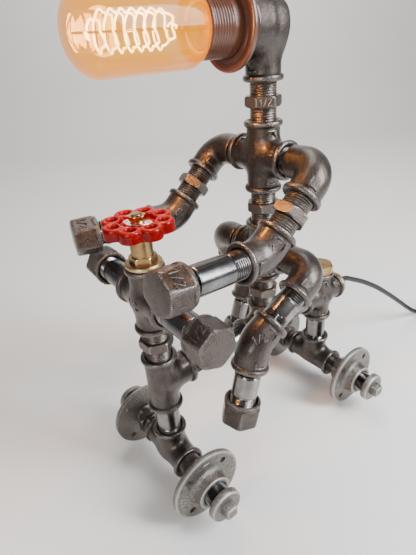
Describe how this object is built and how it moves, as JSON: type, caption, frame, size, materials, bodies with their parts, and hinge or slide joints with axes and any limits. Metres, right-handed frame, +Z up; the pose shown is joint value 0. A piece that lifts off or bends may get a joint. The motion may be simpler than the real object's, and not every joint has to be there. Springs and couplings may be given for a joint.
{
  "type": "robot shaped desk lamp",
  "caption": "Desk lamp in the shape of a robot astride a wheeled frame, screwed together from pipe fittings, with a tubular filament bulb for a head and a red handwheel switch.",
  "frame": {"origin": "on the table, below the middle of the lamp: midway between its sides and midway between the two axles, with the wheels standing on z = 0", "axes": "+Z up; -Y is the way that the robot faces and rides, so the bulb points to -Y; +X is the robot's left side"},
  "size_m": [0.2112, 0.5155, 0.402],
  "materials": {
    "malleable_iron": "dark oiled malleable iron casting, fine grain, satin sheen",
    "cap_iron": "rough-cast dark iron, grainy, satin",
    "hex_steel": "machined dark steel with a turned hexagon, oiled",
    "pipe_steel": "smooth dark steel tube with cut threads, semi-gloss",
    "zinc_flange": "grey cast flange, worn bright on its rim with a little rust",
    "brass": "aged satin brass",
    "red_enamel": "glossy red paint on a cast handwheel",
    "bright_steel": "bright satin disc",
    "phenolic": "moulded dark brown phenolic, semi-gloss",
    "switch_body": "black moulded plastic",
    "porcelain": "glazed ivory ceramic",
    "lamp_brass": "bright rolled brass thread",
    "amber_glass": "clear amber glass",
    "filament": "glowing wire on a glass stem",
    "lead_rubber": "black insulated lead",
    "cord_rubber": "dark round mains cord, semi-matt"
  },
  "bodies": {
    "frame": {"front_axle_tee": "malleable_iron", "rear_axle_tee": "malleable_iron", "axle_nipples": "hex_steel", "front_wheels": "zinc_flange", "rear_wheels": "zinc_flange", "axle_plugs": "zinc_flange", "frame_nipples": "pipe_steel", "frame_hex_nipples": "hex_steel", "frame_tee": "malleable_iron", "handlebar_cross": "malleable_iron", "handlebar_nipples": "pipe_steel", "handlebar_caps": "cap_iron", "valve_bonnet": "brass", "rotary_switch": "switch_body", "frame_pipe": "pipe_steel", "seat_tee": "malleable_iron", "rear_cross": "malleable_iron", "brass_plug": "brass", "cord_gland": "brass", "cord_relief": "cord_rubber", "hip_cross": "malleable_iron", "torso_cross": "malleable_iron", "frame_lead": "lead_rubber", "switch_lead": "lead_rubber", "cord_run": "cord_rubber", "cord_coil": "cord_rubber", "mains_plug": "cord_rubber"},
    "switch_wheel": {"handwheel": "red_enamel", "valve_stem": "brass", "index_plate": "bright_steel", "stem_nut": "brass"},
    "head": {"head_elbow": "malleable_iron", "holder_sleeve": "phenolic", "shade_ring": "phenolic", "socket_core": "porcelain", "socket_shell": "lamp_brass", "bulb_cap": "lamp_brass", "bulb_glass": "amber_glass", "bulb_filament": "filament", "head_lead": "lead_rubber"},
    "near_upper_arm": {"near_shoulder_elbow": "malleable_iron", "near_arm_nipple": "hex_steel"},
    "near_forearm": {"near_forearm_elbow": "malleable_iron", "near_forearm_nipple": "pipe_steel", "near_hand_cap": "cap_iron"},
    "far_upper_arm": {"far_shoulder_elbow": "malleable_iron", "far_arm_nipple": "hex_steel"},
    "far_forearm": {"far_forearm_elbow": "malleable_iron", "far_forearm_nipple": "pipe_steel", "far_hand_cap": "cap_iron"},
    "near_thigh": {"near_hip_elbow": "malleable_iron", "near_thigh_nipple": "pipe_steel"},
    "near_shin": {"near_knee_elbow": "malleable_iron", "near_shin_nipple": "pipe_steel", "near_foot_cap": "cap_iron"},
    "far_thigh": {"far_hip_elbow": "malleable_iron", "far_thigh_nipple": "pipe_steel"},
    "far_shin": {"far_knee_elbow": "malleable_iron", "far_shin_nipple": "pipe_steel", "far_foot_cap": "cap_iron"}
  },
  "joints": [
    {"name": "switch_turn", "type": "hinge", "parent": "frame", "child": "switch_wheel", "pos_m": [0, -0.1015, 0.227], "axis": [0, 0, -1], "range_deg": [0, 270]},
    {"name": "neck_turn", "type": "hinge", "parent": "frame", "child": "head", "pos_m": [0, 0.0185, 0.337], "axis": [0, 0, 1], "range_deg": [-60, 60]},
    {"name": "near_shoulder_raise", "type": "hinge", "parent": "frame", "child": "near_upper_arm", "pos_m": [0.028, 0.0185, 0.282], "axis": [-1, 0, 0], "range_deg": [0, 45]},
    {"name": "near_elbow_twist", "type": "hinge", "parent": "near_upper_arm", "child": "near_forearm", "pos_m": [0.0585, -0.02363, 0.24665], "axis": [0, -0.766, -0.6428], "range_deg": [-20, 10]},
    {"name": "far_shoulder_raise", "type": "hinge", "parent": "frame", "child": "far_upper_arm", "pos_m": [-0.028, 0.0185, 0.282], "axis": [-1, 0, 0], "range_deg": [0, 45]},
    {"name": "far_elbow_twist", "type": "hinge", "parent": "far_upper_arm", "child": "far_forearm", "pos_m": [-0.0585, -0.02172, 0.24449], "axis": [0, -0.7314, -0.682], "range_deg": [-12, 0]},
    {"name": "near_hip_swing", "type": "hinge", "parent": "frame", "child": "near_thigh", "pos_m": [0.028, 0.0185, 0.199], "axis": [-1, 0, 0], "range_deg": [-20, 25]},
    {"name": "near_knee_twist", "type": "hinge", "parent": "near_thigh", "child": "near_shin", "pos_m": [0.0585, -0.02913, 0.1715], "axis": [0, -0.866, -0.5], "range_deg": [-30, 30]},
    {"name": "far_hip_swing", "type": "hinge", "parent": "frame", "child": "far_thigh", "pos_m": [-0.028, 0.0185, 0.199], "axis": [-1, 0, 0], "range_deg": [-20, 25]},
    {"name": "far_knee_twist", "type": "hinge", "parent": "far_thigh", "child": "far_shin", "pos_m": [-0.0585, 0.04261, 0.14957], "axis": [0, 0.4384, -0.8988], "range_deg": [-30, 30]}
  ]
}
